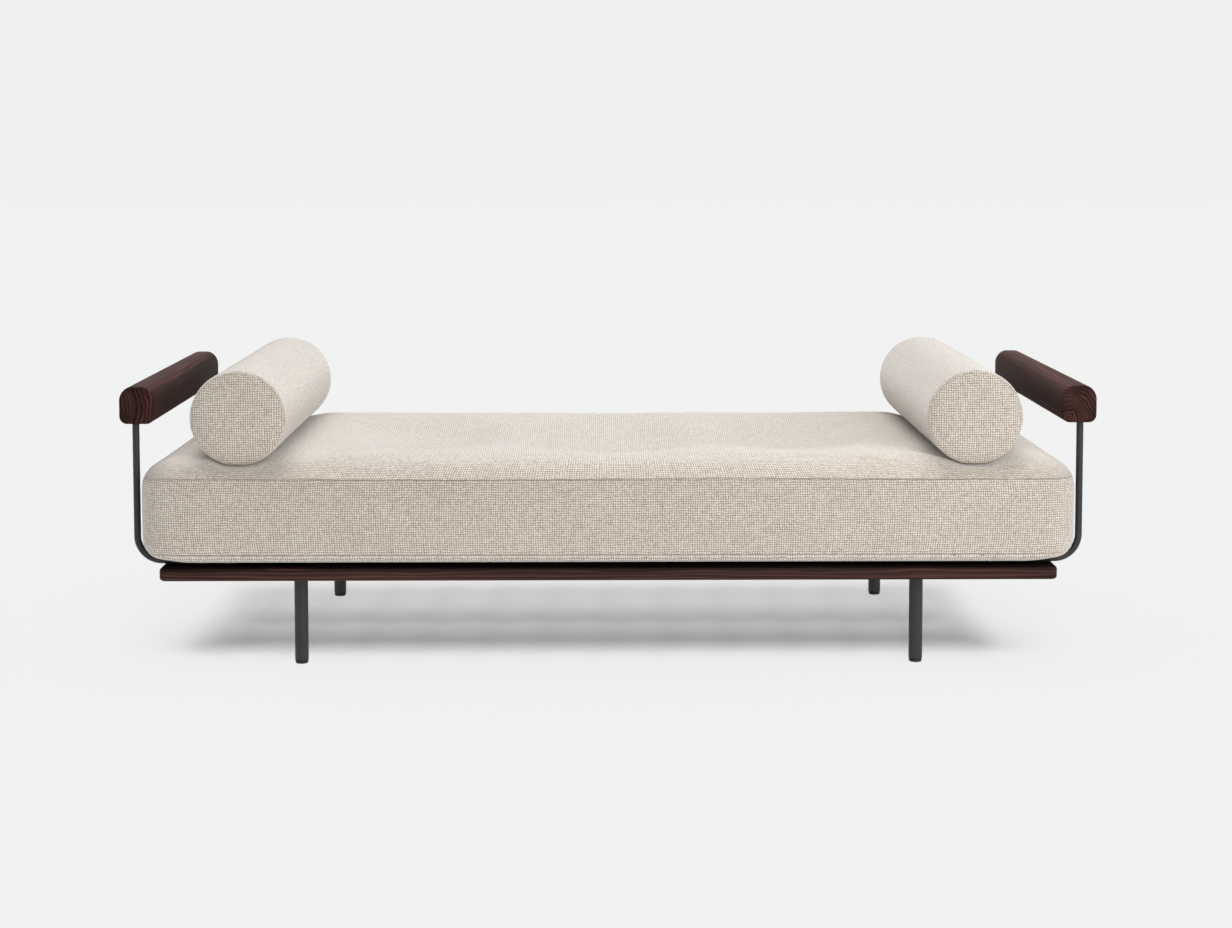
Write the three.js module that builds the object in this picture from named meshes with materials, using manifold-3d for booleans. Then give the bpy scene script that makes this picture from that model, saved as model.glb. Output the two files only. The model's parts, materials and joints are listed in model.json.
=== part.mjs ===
// A daybed with a thin wooden base on four steel legs, two bent steel rods that carry
// a wooden armrest at each end, a thick mattress and two round bolsters.
// Millimetres, +Z up. The origin is on the floor under the middle of the daybed,
// +X runs along its length to the right and +Y runs from its front to its back.

import * as THREE from 'three';
import { mergeVertices } from 'three/addons/utils/BufferGeometryUtils.js';
import Module from 'manifold-3d';

const wasm = await Module();
wasm.setup();

// ---- Driving dimensions ----

const GAP = 0.3; // between pieces that touch

// base frame
const BASE_LENGTH = 1820;
const BASE_DEPTH = 776;
const BASE_BOTTOM = 183;
const RAIL_THICKNESS = 27;
const RAIL_WIDTH = 110;
const RAIL_EDGE_RADIUS = 7;
const BASE_CORNER_RADIUS = 14;
const CENTRE_RAIL_WIDTH = 60;

// slats
const SLAT_COUNT = 13;
const SLAT_PITCH = 130;
const SLAT_WIDTH = 70;
const SLAT_LENGTH = 650;
const SLAT_THICKNESS = 14;
const SLAT_EDGE_RADIUS = 4;

// bent rods
const ROD_DIAMETER = 14;
const ROD_X = 962; // centre of an upright
const ROD_Y = 335;
const ROD_BEND_RADIUS = 50; // on the rod's centre line
const ROD_TOP = 544; // an upright's end, inside its armrest

// bolts that hold the rods down on the rails
const BOLT_DIAMETER = 6;
const BOLT_HOLE_DIAMETER = 6.6;
const BOLT_HEAD_DIAMETER = 11;
const BOLT_HEAD_HEIGHT = 3.7;
const BOLT_TIP = 220;
const BOLT_XS = [-780, -260, 260, 780];

// armrests and the sleeves in them
const ARM_WIDTH = 70;
const ARM_HEIGHT = 76;
const ARM_LENGTH = 720;
const ARM_BOTTOM = 500;
const ARM_OUTER_X = 990;
const ARM_CORNER_RADIUS = 17;
const ARM_END_ROUNDING = 4;
const ARM_BORE_DIAMETER = 20.6;
const SLEEVE_DIAMETER = 20;
const SLEEVE_BORE = 14.6;
const SLEEVE_LENGTH = 45;
const SLEEVE_INSET = 1; // below the armrest's surface

// legs and feet
const LEG_X = 632;
const LEG_Y = 320;
const LEG_DIAMETER = 28;
const LEG_WALL = 2;
const PLATE_SIDE = 76;
const PLATE_THICKNESS = 4;
const PLATE_CORNER_RADIUS = 8;
const PAD_DIAMETER = 26;
const PAD_HEIGHT = 5.2;
const PAD_ROUNDING = 1.6;
const INSERT_FLANGE_DIAMETER = 27.6;
const INSERT_FLANGE_HEIGHT = 1.8;
const INSERT_LENGTH = 30;
const INSERT_BORE = 8.6;
const STUD_DIAMETER = 8;
const STUD_LENGTH = 27;

// mattress
const MATTRESS_LENGTH = 1900;
const MATTRESS_DEPTH = 800;
const MATTRESS_TOP = 421;
const MATTRESS_CORNER_RADIUS = 45;
const MATTRESS_EDGE_RADIUS = 38; // round enough to clear the insides of the rods' bends
const MATTRESS_ZIP_LENGTH = 1700;

// bolsters
const BOLSTER_DIAMETER = 186;
const BOLSTER_LENGTH = 744;
const BOLSTER_X = 745;
const BOLSTER_END_RADIUS = 16;
const BOLSTER_ZIP_LENGTH = 560;

// covers
const COVER_THICKNESS = 3;
const COVER_SLACK = 0.5; // between a cover and its core
const ZIP_OPENING = 6;

// ---- Worked out from the driving dimensions ----

const BASE_TOP = BASE_BOTTOM + RAIL_THICKNESS;
const ROD_RADIUS = ROD_DIAMETER / 2;
const ROD_Z = BASE_TOP + GAP + ROD_RADIUS;
const MATTRESS_BOTTOM = ROD_Z + ROD_RADIUS + GAP;
const BOLSTER_Z = MATTRESS_TOP + 2 * GAP + BOLSTER_DIAMETER / 2;
const PLATE_TOP = BASE_BOTTOM - GAP;
const PLATE_BOTTOM = PLATE_TOP - PLATE_THICKNESS;
const INSERT_BOTTOM = PAD_HEIGHT + 2 * GAP;
const LEG_BOTTOM = INSERT_BOTTOM + INSERT_FLANGE_HEIGHT + GAP;
const LEG_TOP = PLATE_BOTTOM - GAP;

// smoothness of round shapes: sides all round, steps in a quarter turn, or bevel steps
const ROUND = { rod: 16, bend: 6, small: 12, leg: 16, bolster: 24, corner: 4, bevel: 2 };

// ---- Materials ----

const LOOKS = {
  wenge: { color: 0x3b2523, roughness: 0.42, metalness: 0 },
  beech: { color: 0xc9a981, roughness: 0.6, metalness: 0 },
  blackSteel: { color: 0x2a2a2b, roughness: 0.5, metalness: 0.6 },
  zincSteel: { color: 0xb4b6b8, roughness: 0.35, metalness: 1 },
  blackPlastic: { color: 0x161616, roughness: 0.6, metalness: 0 },
  fabric: { color: 0xcfc4b4, roughness: 0.95, metalness: 0 },
  foam: { color: 0xe9e2cf, roughness: 1, metalness: 0 },
};

const daybed = new THREE.Group();

function addPiece(name, geometry, look, position = [0, 0, 0]) {
  const mesh = new THREE.Mesh(geometry, new THREE.MeshStandardMaterial(LOOKS[look]));
  mesh.name = name;
  mesh.position.set(...position);
  daybed.add(mesh);
}

// ---- Solids: joining and cutting ----

function toSolid(geometry) {
  const bare = geometry.clone();
  bare.deleteAttribute('normal');
  bare.deleteAttribute('uv');
  const merged = mergeVertices(bare, 1e-4);
  const mesh = new wasm.Mesh({
    numProp: 3,
    vertProperties: new Float32Array(merged.attributes.position.array),
    triVerts: new Uint32Array(merged.index.array),
  });
  return new wasm.Manifold(mesh);
}

function toGeometry(solid) {
  const mesh = solid.getMesh();
  const geometry = new THREE.BufferGeometry();
  geometry.setAttribute('position', new THREE.BufferAttribute(mesh.vertProperties, 3));
  geometry.setIndex(new THREE.BufferAttribute(mesh.triVerts, 1));
  return geometry;
}

function cut(geometry, tools) {
  return toGeometry(tools.reduce((solid, tool) => solid.subtract(toSolid(tool)), toSolid(geometry)));
}

// ---- Shapes ----

function roundedRectangle(width, height, radius) {
  const x = width / 2;
  const y = height / 2;
  const shape = new THREE.Shape();
  shape.absarc(x - radius, y - radius, radius, 0, Math.PI / 2);
  shape.absarc(radius - x, y - radius, radius, Math.PI / 2, Math.PI);
  shape.absarc(radius - x, radius - y, radius, Math.PI, 1.5 * Math.PI);
  shape.absarc(x - radius, radius - y, radius, 1.5 * Math.PI, 2 * Math.PI);
  return shape;
}

// a rectangle with round corners, extruded along Z between two heights, its edges rounded
function slab(length, depth, cornerRadius, edgeRadius, bottom, top) {
  const geometry = new THREE.ExtrudeGeometry(roundedRectangle(length, depth, cornerRadius), {
    depth: top - bottom - 2 * edgeRadius,
    curveSegments: ROUND.corner / 2, // an arc gets twice as many
    bevelEnabled: edgeRadius > 0,
    bevelThickness: edgeRadius,
    bevelSize: edgeRadius,
    bevelOffset: -edgeRadius,
    bevelSegments: ROUND.bevel,
  });
  return geometry.translate(0, 0, bottom + edgeRadius);
}

function box(lengths, centre) {
  return new THREE.BoxGeometry(...lengths).translate(...centre);
}

function uprightCylinder(x, y, radius, bottom, top, segments) {
  const cylinder = new THREE.CylinderGeometry(radius, radius, top - bottom, segments);
  return cylinder.rotateX(Math.PI / 2).translate(x, y, (bottom + top) / 2);
}

// a turned piece: [radius, height] points, revolved about Z
function turned(profile, segments) {
  const points = profile.map(([radius, height]) => new THREE.Vector2(radius, height));
  return new THREE.LatheGeometry(points, segments).rotateX(Math.PI / 2);
}

// points on a quarter circle for a turned profile, from one angle to another in degrees
function arcPoints(centreRadius, centreHeight, radius, fromAngle, toAngle, steps = 2) {
  return Array.from({ length: steps + 1 }, (_, i) => {
    const angle = THREE.MathUtils.degToRad(fromAngle + ((toAngle - fromAngle) * i) / steps);
    return [centreRadius + radius * Math.cos(angle), centreHeight + radius * Math.sin(angle)];
  });
}

// ---- Base frame: four mitred rails and a centre rail ----

const INNER_X = BASE_LENGTH / 2 - RAIL_WIDTH;
const INNER_Y = BASE_DEPTH / 2 - RAIL_WIDTH;

function railRegion(points) {
  const shape = new THREE.Shape(points.map(([x, y]) => new THREE.Vector2(x, y)));
  const margin = 10;
  const geometry = new THREE.ExtrudeGeometry(shape, {
    depth: RAIL_THICKNESS + 2 * margin,
    bevelEnabled: false,
  });
  return geometry.translate(0, 0, BASE_BOTTOM - margin);
}

function addBaseFrame() {
  const ring = cut(
    slab(BASE_LENGTH, BASE_DEPTH, BASE_CORNER_RADIUS, RAIL_EDGE_RADIUS, BASE_BOTTOM, BASE_TOP),
    [box([2 * INNER_X, 2 * INNER_Y, 200], [0, 0, BASE_TOP])],
  );
  const holes = BOLT_XS.flatMap((x) => [-ROD_Y, ROD_Y].map((y) => (
    uprightCylinder(x, y, BOLT_HOLE_DIAMETER / 2, BASE_BOTTOM - 5, BASE_TOP + 5, ROUND.small))));
  const drilled = toSolid(cut(ring, holes));

  const reach = RAIL_WIDTH + 10; // past the outer edges
  const setBack = GAP / Math.SQRT2; // of each mitre, along X or Y
  const longRail = (side) => railRegion([
    [-INNER_X - reach + setBack, side * (INNER_Y + reach)],
    [INNER_X + reach - setBack, side * (INNER_Y + reach)],
    [INNER_X - setBack, side * INNER_Y],
    [-INNER_X + setBack, side * INNER_Y],
  ]);
  const endRail = (side) => railRegion([
    [side * (INNER_X + reach), -INNER_Y - reach + setBack],
    [side * INNER_X, -INNER_Y + setBack],
    [side * INNER_X, INNER_Y - setBack],
    [side * (INNER_X + reach), INNER_Y + reach - setBack],
  ]);
  const regions = {
    front_rail: longRail(-1),
    rear_rail: longRail(1),
    left_end_rail: endRail(-1),
    right_end_rail: endRail(1),
  };
  for (const [name, region] of Object.entries(regions)) {
    addPiece(name, toGeometry(drilled.intersect(toSolid(region))), 'wenge');
  }

  const centreRail = box(
    [2 * (INNER_X - GAP), CENTRE_RAIL_WIDTH, RAIL_THICKNESS],
    [0, 0, BASE_BOTTOM + RAIL_THICKNESS / 2],
  );
  addPiece('centre_rail', centreRail, 'wenge');
}

function addSlats() {
  const section = roundedRectangle(SLAT_WIDTH, SLAT_THICKNESS, SLAT_EDGE_RADIUS);
  for (let i = 0; i < SLAT_COUNT; i += 1) {
    const x = (i - (SLAT_COUNT - 1) / 2) * SLAT_PITCH;
    const slat = new THREE.ExtrudeGeometry(section, {
      depth: SLAT_LENGTH,
      curveSegments: 1,
      bevelEnabled: false,
    });
    slat.translate(0, 0, -SLAT_LENGTH / 2).rotateX(Math.PI / 2);
    const name = `slat_${String(i + 1).padStart(2, '0')}`;
    addPiece(name, slat, 'beech', [x, 0, BASE_TOP + GAP + SLAT_THICKNESS / 2]);
  }
}

// ---- Bent rods and their bolts ----

// Down one upright, round a bend, along the base, round the other bend and up again.
// Each straight is one step and each bend ROUND.bend steps.
class BentRodCurve extends THREE.Curve {
  constructor() {
    super();
    const bendX = ROD_X - ROD_BEND_RADIUS;
    const bendZ = ROD_Z + ROD_BEND_RADIUS;
    const bend = (centreX, fromAngle) => Array.from({ length: ROUND.bend + 1 }, (_, i) => {
      const angle = fromAngle + ((Math.PI / 2) * i) / ROUND.bend;
      const x = centreX + ROD_BEND_RADIUS * Math.cos(angle);
      const z = bendZ + ROD_BEND_RADIUS * Math.sin(angle);
      return new THREE.Vector3(x, 0, z);
    });
    this.points = [
      new THREE.Vector3(-ROD_X, 0, ROD_TOP),
      ...bend(-bendX, Math.PI),
      ...bend(bendX, 1.5 * Math.PI),
      new THREE.Vector3(ROD_X, 0, ROD_TOP),
    ];
    this.steps = this.points.length - 1;
  }

  getPoint(t) {
    return this.points[Math.round(t * this.steps)].clone();
  }

  // the tangent at a point bisects the two stretches that meet there
  getTangent(t) {
    const i = Math.round(t * this.steps);
    const along = (from, to) => this.points[to].clone().sub(this.points[from]).normalize();
    const tangent = new THREE.Vector3();
    if (i > 0) tangent.add(along(i - 1, i));
    if (i < this.steps) tangent.add(along(i, i + 1));
    return tangent.normalize();
  }

  getPointAt(u) {
    return this.getPoint(u);
  }

  getTangentAt(u) {
    return this.getTangent(u);
  }
}

function addRods() {
  const path = new BentRodCurve();
  const section = new THREE.Shape();
  section.absarc(0, 0, ROD_RADIUS, 0, 2 * Math.PI);
  const rod = new THREE.ExtrudeGeometry(section, {
    steps: path.steps,
    extrudePath: path,
    curveSegments: ROUND.rod / 2,
  });
  const tappedHoles = BOLT_XS.map((x) => (
    uprightCylinder(x, 0, BOLT_HOLE_DIAMETER / 2, BASE_TOP - 5, BOLT_TIP + 1, ROUND.small)));
  const drilledRod = cut(rod, tappedHoles);

  const shankRadius = BOLT_DIAMETER / 2;
  const headRadius = BOLT_HEAD_DIAMETER / 2;
  const headTop = BASE_BOTTOM - GAP;
  const headRounding = 2;
  const bolt = turned([
    [0, headTop - BOLT_HEAD_HEIGHT],
    ...arcPoints(headRadius - headRounding, headTop - BOLT_HEAD_HEIGHT + headRounding, headRounding, -90, 0),
    [headRadius, headTop],
    [shankRadius, headTop],
    [shankRadius, BOLT_TIP - 1],
    [shankRadius - 1, BOLT_TIP],
    [0, BOLT_TIP],
  ], ROUND.small);

  for (const [side, y] of [['front', -ROD_Y], ['rear', ROD_Y]]) {
    addPiece(`${side}_arm_rod`, drilledRod, 'blackSteel', [0, y, 0]);
    BOLT_XS.forEach((x, i) => addPiece(`${side}_rod_bolt_${i + 1}`, bolt, 'zincSteel', [x, y, 0]));
  }
}

// ---- Armrests, each on the ends of both rods ----

function addArmrests() {
  const boreTop = ARM_BOTTOM + SLEEVE_INSET + SLEEVE_LENGTH + GAP;
  const sleeveBottom = ARM_BOTTOM + SLEEVE_INSET;
  const sleeveTop = sleeveBottom + SLEEVE_LENGTH;
  const sleeve = turned([
    [SLEEVE_BORE / 2, sleeveBottom],
    [SLEEVE_DIAMETER / 2, sleeveBottom],
    [SLEEVE_DIAMETER / 2, sleeveTop],
    [SLEEVE_BORE / 2, sleeveTop],
    [SLEEVE_BORE / 2, sleeveBottom],
  ], ROUND.small);

  for (const [side, sign] of [['left', -1], ['right', 1]]) {
    const section = roundedRectangle(ARM_WIDTH, ARM_HEIGHT, ARM_CORNER_RADIUS);
    const arm = new THREE.ExtrudeGeometry(section, {
      depth: ARM_LENGTH - 2 * ARM_END_ROUNDING,
      curveSegments: ROUND.corner / 2,
      bevelThickness: ARM_END_ROUNDING,
      bevelSize: ARM_END_ROUNDING,
      bevelOffset: -ARM_END_ROUNDING,
      bevelSegments: ROUND.bevel,
    });
    arm.translate(0, 0, ARM_END_ROUNDING - ARM_LENGTH / 2).rotateX(Math.PI / 2);
    arm.translate(sign * (ARM_OUTER_X - ARM_WIDTH / 2), 0, ARM_BOTTOM + ARM_HEIGHT / 2);
    const bores = [-ROD_Y, ROD_Y].map((y) => (
      uprightCylinder(sign * ROD_X, y, ARM_BORE_DIAMETER / 2, ARM_BOTTOM - 5, boreTop, ROUND.small)));
    addPiece(`${side}_armrest`, cut(arm, bores), 'wenge');
    addPiece(`sleeve_front_${side}`, sleeve, 'zincSteel', [sign * ROD_X, -ROD_Y, 0]);
    addPiece(`sleeve_rear_${side}`, sleeve, 'zincSteel', [sign * ROD_X, ROD_Y, 0]);
  }
}

// ---- Legs: a mounting plate, a tube, a threaded insert and a levelling foot ----

function addLegs() {
  const plate = slab(PLATE_SIDE, PLATE_SIDE, PLATE_CORNER_RADIUS, 0, PLATE_BOTTOM, PLATE_TOP);

  const outerRadius = LEG_DIAMETER / 2;
  const innerRadius = outerRadius - LEG_WALL;
  const tube = turned([
    [innerRadius, LEG_BOTTOM],
    [outerRadius, LEG_BOTTOM],
    [outerRadius, LEG_TOP],
    [innerRadius, LEG_TOP],
    [innerRadius, LEG_BOTTOM],
  ], ROUND.leg);

  const bodyRadius = innerRadius - GAP;
  const flangeTop = INSERT_BOTTOM + INSERT_FLANGE_HEIGHT;
  const insertTop = flangeTop + INSERT_LENGTH;
  const insert = turned([
    [INSERT_BORE / 2, INSERT_BOTTOM],
    [INSERT_FLANGE_DIAMETER / 2, INSERT_BOTTOM],
    [INSERT_FLANGE_DIAMETER / 2, flangeTop],
    [bodyRadius, flangeTop],
    [bodyRadius, insertTop],
    [INSERT_BORE / 2, insertTop],
    [INSERT_BORE / 2, INSERT_BOTTOM],
  ], ROUND.leg);

  const padRadius = PAD_DIAMETER / 2;
  const padShoulder = padRadius - PAD_ROUNDING;
  const pad = turned([
    [0, 0],
    ...arcPoints(padShoulder, PAD_ROUNDING, PAD_ROUNDING, -90, 0),
    ...arcPoints(padShoulder, PAD_HEIGHT - PAD_ROUNDING, PAD_ROUNDING, 0, 90),
    [0, PAD_HEIGHT],
  ], ROUND.leg);

  const studBottom = PAD_HEIGHT + GAP;
  const studRadius = STUD_DIAMETER / 2;
  const stud = turned([
    [0, studBottom],
    [studRadius, studBottom],
    [studRadius, studBottom + STUD_LENGTH - 1],
    [studRadius - 1, studBottom + STUD_LENGTH],
    [0, studBottom + STUD_LENGTH],
  ], ROUND.small);

  for (const [depthName, ySign] of [['front', -1], ['rear', 1]]) {
    for (const [sideName, xSign] of [['left', -1], ['right', 1]]) {
      const place = [xSign * LEG_X, ySign * LEG_Y, 0];
      const corner = `${depthName}_${sideName}`;
      addPiece(`leg_plate_${corner}`, plate, 'blackSteel', place);
      addPiece(`leg_tube_${corner}`, tube, 'blackSteel', place);
      addPiece(`leg_insert_${corner}`, insert, 'blackPlastic', place);
      addPiece(`foot_stud_${corner}`, stud, 'zincSteel', place);
      addPiece(`foot_pad_${corner}`, pad, 'blackPlastic', place);
    }
  }
}

// ---- Mattress and bolsters: a cover with a zip opening around a foam core ----

function mattressShape(inset) {
  return slab(
    MATTRESS_LENGTH - 2 * inset,
    MATTRESS_DEPTH - 2 * inset,
    MATTRESS_CORNER_RADIUS - inset,
    MATTRESS_EDGE_RADIUS - inset,
    MATTRESS_BOTTOM + inset,
    MATTRESS_TOP - inset,
  );
}

function addMattress() {
  const zipHeight = MATTRESS_BOTTOM + 1.4 * MATTRESS_EDGE_RADIUS;
  const zip = box(
    [MATTRESS_ZIP_LENGTH, 4 * COVER_THICKNESS, ZIP_OPENING],
    [0, MATTRESS_DEPTH / 2 - COVER_THICKNESS, zipHeight],
  );
  addPiece('mattress_cover', cut(mattressShape(0), [mattressShape(COVER_THICKNESS), zip]), 'fabric');
  addPiece('mattress_core', mattressShape(COVER_THICKNESS + COVER_SLACK), 'foam');
}

// a round bar along Y with rounded end edges
function bolsterShape(inset) {
  const radius = BOLSTER_DIAMETER / 2 - inset;
  const halfLength = BOLSTER_LENGTH / 2 - inset;
  const rounding = BOLSTER_END_RADIUS - inset;
  return turned([
    [0, -halfLength],
    ...arcPoints(radius - rounding, rounding - halfLength, rounding, -90, 0),
    ...arcPoints(radius - rounding, halfLength - rounding, rounding, 0, 90),
    [0, halfLength],
  ], ROUND.bolster).rotateX(Math.PI / 2);
}

function addBolsters() {
  const radius = BOLSTER_DIAMETER / 2;
  for (const [side, sign] of [['left', -1], ['right', 1]]) {
    const zip = box([4 * COVER_THICKNESS, BOLSTER_ZIP_LENGTH, ZIP_OPENING], [sign * radius, 0, 0]);
    const cover = cut(bolsterShape(0), [bolsterShape(COVER_THICKNESS), zip]);
    const place = [sign * BOLSTER_X, 0, BOLSTER_Z];
    addPiece(`${side}_bolster_cover`, cover, 'fabric', place);
    addPiece(`${side}_bolster_core`, bolsterShape(COVER_THICKNESS + COVER_SLACK), 'foam', place);
  }
}

addBaseFrame();
addSlats();
addRods();
addArmrests();
addLegs();
addMattress();
addBolsters();

export default daybed;
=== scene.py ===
# The looks of a daybed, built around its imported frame. Metres, +Z up, as in the CAD: the origin
# is on the floor under the middle, +X runs along the daybed to the right, +Y to its back.

import json
import math

import bpy
import numpy as np
from mathutils import Euler, Matrix, Vector
from mathutils.bvhtree import BVHTree

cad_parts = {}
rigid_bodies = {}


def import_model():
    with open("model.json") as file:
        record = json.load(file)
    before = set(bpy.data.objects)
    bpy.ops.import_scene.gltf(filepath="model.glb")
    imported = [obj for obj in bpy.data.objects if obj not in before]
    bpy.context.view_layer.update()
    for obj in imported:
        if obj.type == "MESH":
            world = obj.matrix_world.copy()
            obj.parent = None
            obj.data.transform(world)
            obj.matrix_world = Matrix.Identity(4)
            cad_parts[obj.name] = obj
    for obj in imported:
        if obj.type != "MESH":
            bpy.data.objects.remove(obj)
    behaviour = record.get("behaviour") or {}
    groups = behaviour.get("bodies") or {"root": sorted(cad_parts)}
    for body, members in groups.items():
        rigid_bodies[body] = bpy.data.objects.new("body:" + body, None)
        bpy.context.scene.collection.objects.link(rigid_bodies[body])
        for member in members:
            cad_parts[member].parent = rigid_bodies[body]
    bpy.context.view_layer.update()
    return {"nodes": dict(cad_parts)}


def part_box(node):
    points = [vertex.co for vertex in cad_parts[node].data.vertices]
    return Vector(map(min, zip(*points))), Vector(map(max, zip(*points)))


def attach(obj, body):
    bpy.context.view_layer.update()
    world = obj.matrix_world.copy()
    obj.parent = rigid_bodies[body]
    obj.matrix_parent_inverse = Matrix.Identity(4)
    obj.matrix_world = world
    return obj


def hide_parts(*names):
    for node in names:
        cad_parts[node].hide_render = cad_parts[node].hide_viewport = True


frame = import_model()

MM = 0.001
SIDES = {"left": -1, "right": 1}
DEPTHS = ("front", "rear")
CORNERS = [f"{depth}_{side}" for depth in DEPTHS for side in SIDES]


# ---- Camera, floor and light ----

CAMERA_PLACE = (-0.0214, -4.5453, 1.0672)
CAMERA_DOWN = 0.0700  # radians below the horizon
CAMERA_RIGHT = 0.0086  # radians towards +X
CAMERA_ROLL = 0.0007
CAMERA_LENS = 60.8
CAMERA_SHIFT = -0.1424

BACKDROP = (0.871, 0.880, 0.877)  # the pale grey of the background, linear
CEILING_SHARE = 0.32  # how bright the studio is overhead, against its walls
FLOOR_COLOUR = (0.2494, 0.2513, 0.2506)
FLOOR_REACH = 30  # from the middle to each edge
FLOOR_WASHES = [  # the floor's own lights: strength, degrees across, direction, what shades it
    (7.4, 34, (0.15, -1.25, 1), ("front_rail_board",)),
    (5.96, 37, (0.15, -0.5, 1), ("slat_", "centre_rail")),
]
KEY_STRENGTH = 2.95
KEY_DIRECTION = (-0.06, 0.44, 0.89)  # from the daybed towards the light
KEY_SOFTNESS = 40
FILL_PLACE = (2.4, -3.2, 1.9)
FILL_AIM = (0.3, 0, 0.4)
FILL_SIZE = 2.6
FILL_POWER = 84


def make_camera():
    data = bpy.data.cameras.new("camera")
    data.lens = CAMERA_LENS
    data.sensor_width = 36
    data.shift_y = CAMERA_SHIFT
    data.clip_end = 100
    camera = bpy.data.objects.new("camera", data)
    bpy.context.scene.collection.objects.link(camera)
    aim = Euler((math.pi / 2 - CAMERA_DOWN, 0, -CAMERA_RIGHT)).to_matrix().to_4x4()
    roll = Matrix.Rotation(-CAMERA_ROLL, 4, "Z")
    camera.matrix_world = Matrix.Translation(CAMERA_PLACE) @ aim @ roll
    bpy.context.scene.camera = camera


def make_sun(name, strength, softness, direction):
    data = bpy.data.lights.new(name, "SUN")
    data.energy = strength
    data.angle = math.radians(softness)
    sun = bpy.data.objects.new(name, data)
    sun.rotation_euler = Vector(direction).to_track_quat("Z", "Y").to_euler()
    bpy.context.scene.collection.objects.link(sun)
    return sun


def make_light(floor):
    world = bpy.data.worlds.new("backdrop")
    world.use_nodes = True
    nodes, links = world.node_tree.nodes, world.node_tree.links
    direction = nodes.new("ShaderNodeTexCoord")
    axes = nodes.new("ShaderNodeSeparateXYZ")
    fade = nodes.new("ShaderNodeMapRange")
    fade.interpolation_type = "SMOOTHSTEP"
    fade.inputs["From Min"].default_value = 0.2
    fade.inputs["From Max"].default_value = 0.6
    fade.inputs["To Min"].default_value = 1.0
    fade.inputs["To Max"].default_value = CEILING_SHARE
    background = nodes["Background"]
    background.inputs["Color"].default_value = (*BACKDROP, 1)
    links.new(direction.outputs["Generated"], axes.inputs[0])
    links.new(axes.outputs["Z"], fade.inputs["Value"])
    links.new(fade.outputs[0], background.inputs["Strength"])
    bpy.context.scene.world = world
    bpy.context.scene.view_settings.view_transform = "Standard"

    key = make_sun("key", KEY_STRENGTH, KEY_SOFTNESS, KEY_DIRECTION)

    data = bpy.data.lights.new("fill", "AREA")
    data.energy = FILL_POWER
    data.size = FILL_SIZE
    fill = bpy.data.objects.new("fill", data)
    fill.location = FILL_PLACE
    fill.rotation_euler = (Vector(FILL_PLACE) - Vector(FILL_AIM)).to_track_quat("Z", "Y").to_euler()
    bpy.context.scene.collection.objects.link(fill)

    # the floor has lights of its own, which only the base shades, so that it stays even
    floor_only = bpy.data.collections.new("floor only")
    floor_only.objects.link(floor)
    for strength, softness, direction, shaders in FLOOR_WASHES:
        wash = make_sun("floor wash", strength, softness, direction)
        blockers = bpy.data.collections.new("floor wash blockers")
        for obj in bpy.data.objects:
            if obj.name.startswith(shaders) and not obj.name.endswith("screws"):
                blockers.objects.link(obj)
        wash.light_linking.receiver_collection = floor_only
        wash.light_linking.blocker_collection = blockers
    not_floor = bpy.data.collections.new("all but the floor")
    not_floor.objects.link(floor)
    not_floor.collection_objects[0].light_linking.link_state = "EXCLUDE"
    key.light_linking.receiver_collection = not_floor
    fill.light_linking.receiver_collection = not_floor


# ---- Node trees ----

class Shader:
    """A material's node tree, built by short calls that take and give sockets or numbers."""

    def __init__(self, name):
        self.material = bpy.data.materials.new(name)
        self.material.use_nodes = True
        self.nodes = self.material.node_tree.nodes
        self.links = self.material.node_tree.links
        self.nodes.clear()

    def add(self, kind, inputs=None, **settings):
        node = self.nodes.new("ShaderNode" + kind)
        for key, value in settings.items():
            setattr(node, key, value)
        for key, value in (inputs or {}).items():
            if isinstance(value, bpy.types.NodeSocket):
                self.links.new(value, node.inputs[key])
            else:
                node.inputs[key].default_value = value
        return node

    def math(self, operation, *values):
        return self.add("Math", dict(enumerate(values)), operation=operation).outputs[0]

    def plus(self, first, second):
        return self.math("ADD", first, second)

    def minus(self, first, second):
        return self.math("SUBTRACT", first, second)

    def times(self, first, second):
        return self.math("MULTIPLY", first, second)

    def vector(self, operation, *values):
        return self.add("VectorMath", dict(enumerate(values)), operation=operation).outputs[0]

    def join(self, x, y, z=0.0):
        return self.add("CombineXYZ", {0: x, 1: y, 2: z}).outputs[0]

    def split(self, vector):
        return self.add("SeparateXYZ", {0: vector}).outputs

    def step(self, value, low, high):
        """0 below low, 1 above high, smooth between."""
        inputs = {"Value": value, "From Min": low, "From Max": high}
        return self.add("MapRange", inputs, interpolation_type="SMOOTHSTEP").outputs[0]

    def range(self, value, low, high, to_low, to_high):
        inputs = {0: value, 1: low, 2: high, 3: to_low, 4: to_high}
        return self.add("MapRange", inputs).outputs[0]

    def noise(self, vector, scale, detail=2.0, roughness=0.5):
        inputs = {"Vector": vector, "Scale": scale, "Detail": detail, "Roughness": roughness}
        return self.add("TexNoise", inputs).outputs["Fac"]

    def random(self, value):
        return self.add("TexWhiteNoise", {"W": value}, noise_dimensions="1D").outputs["Value"]

    def blend(self, factor, first, second, blend_type="MIX"):
        inputs = {0: factor, 6: first, 7: second}
        return self.add("Mix", inputs, data_type="RGBA", blend_type=blend_type).outputs[2]

    def shade(self, colour, tone):
        """A colour made lighter or darker."""
        return self.blend(1.0, colour, self.join(tone, tone, tone), "MULTIPLY")

    def bump(self, height, distance, strength=1.0):
        inputs = {"Height": height, "Distance": distance, "Strength": strength}
        return self.add("Bump", inputs).outputs[0]

    def finish(self, **inputs):
        named = {key.replace("_", " "): value for key, value in inputs.items()}
        surface = self.add("BsdfPrincipled", named)
        self.add("OutputMaterial", {"Surface": surface.outputs[0]})
        return self.material


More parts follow.
